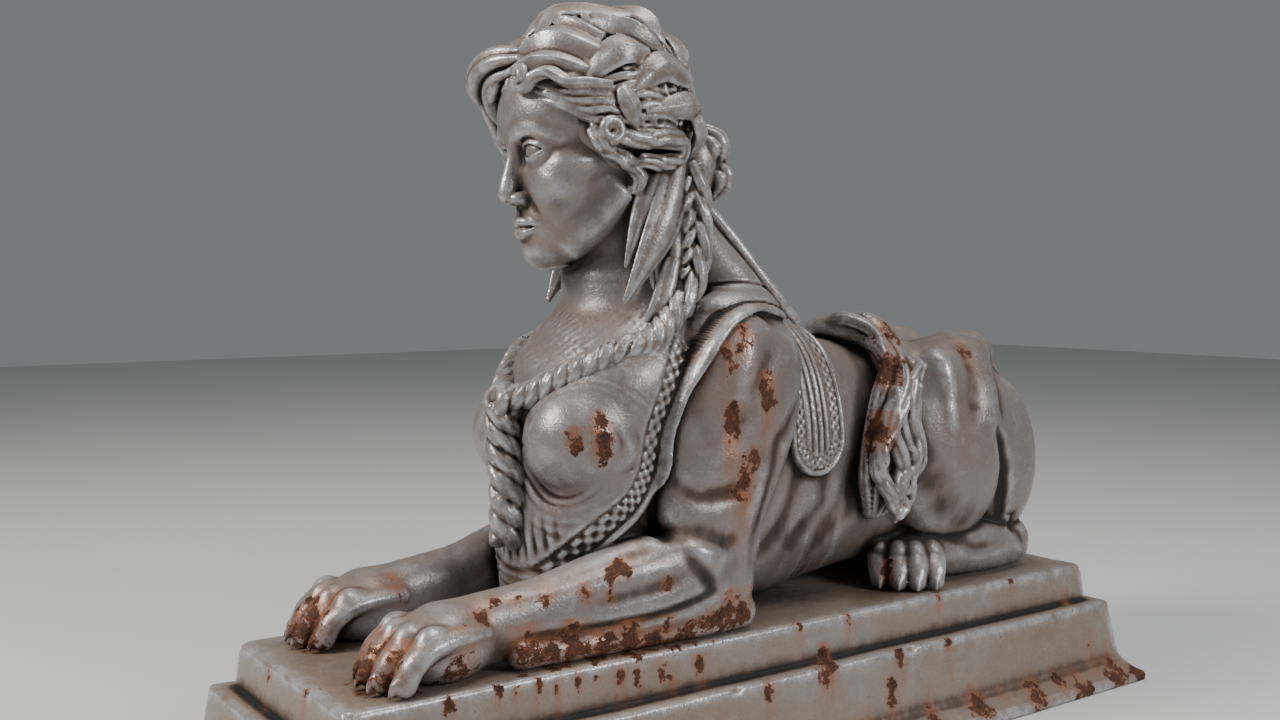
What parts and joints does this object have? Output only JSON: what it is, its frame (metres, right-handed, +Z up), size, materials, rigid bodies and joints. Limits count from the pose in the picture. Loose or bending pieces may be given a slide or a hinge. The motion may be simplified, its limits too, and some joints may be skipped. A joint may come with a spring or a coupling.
{
  "type": "sphinx statue",
  "caption": "Reclining sphinx with a wreathed head, braided hair, pleated bodice and lion's body, cast in iron and painted, on a stepped rectangular plinth.",
  "frame": {"origin": "centre of the plinth's underside", "axes": "+Z up, the sphinx faces -Y, its left side towards +X"},
  "size_m": [0.51, 1.455, 1.0237],
  "materials": {
    "painted_iron": "worn pale grey paint with rust patches and dark grime",
    "plinth_iron": "weathered pale grey paint with rust streaks"
  },
  "bodies": {
    "root": {"sphinx_figure": "painted_iron", "plinth": "plinth_iron"}
  },
  "joints": []
}
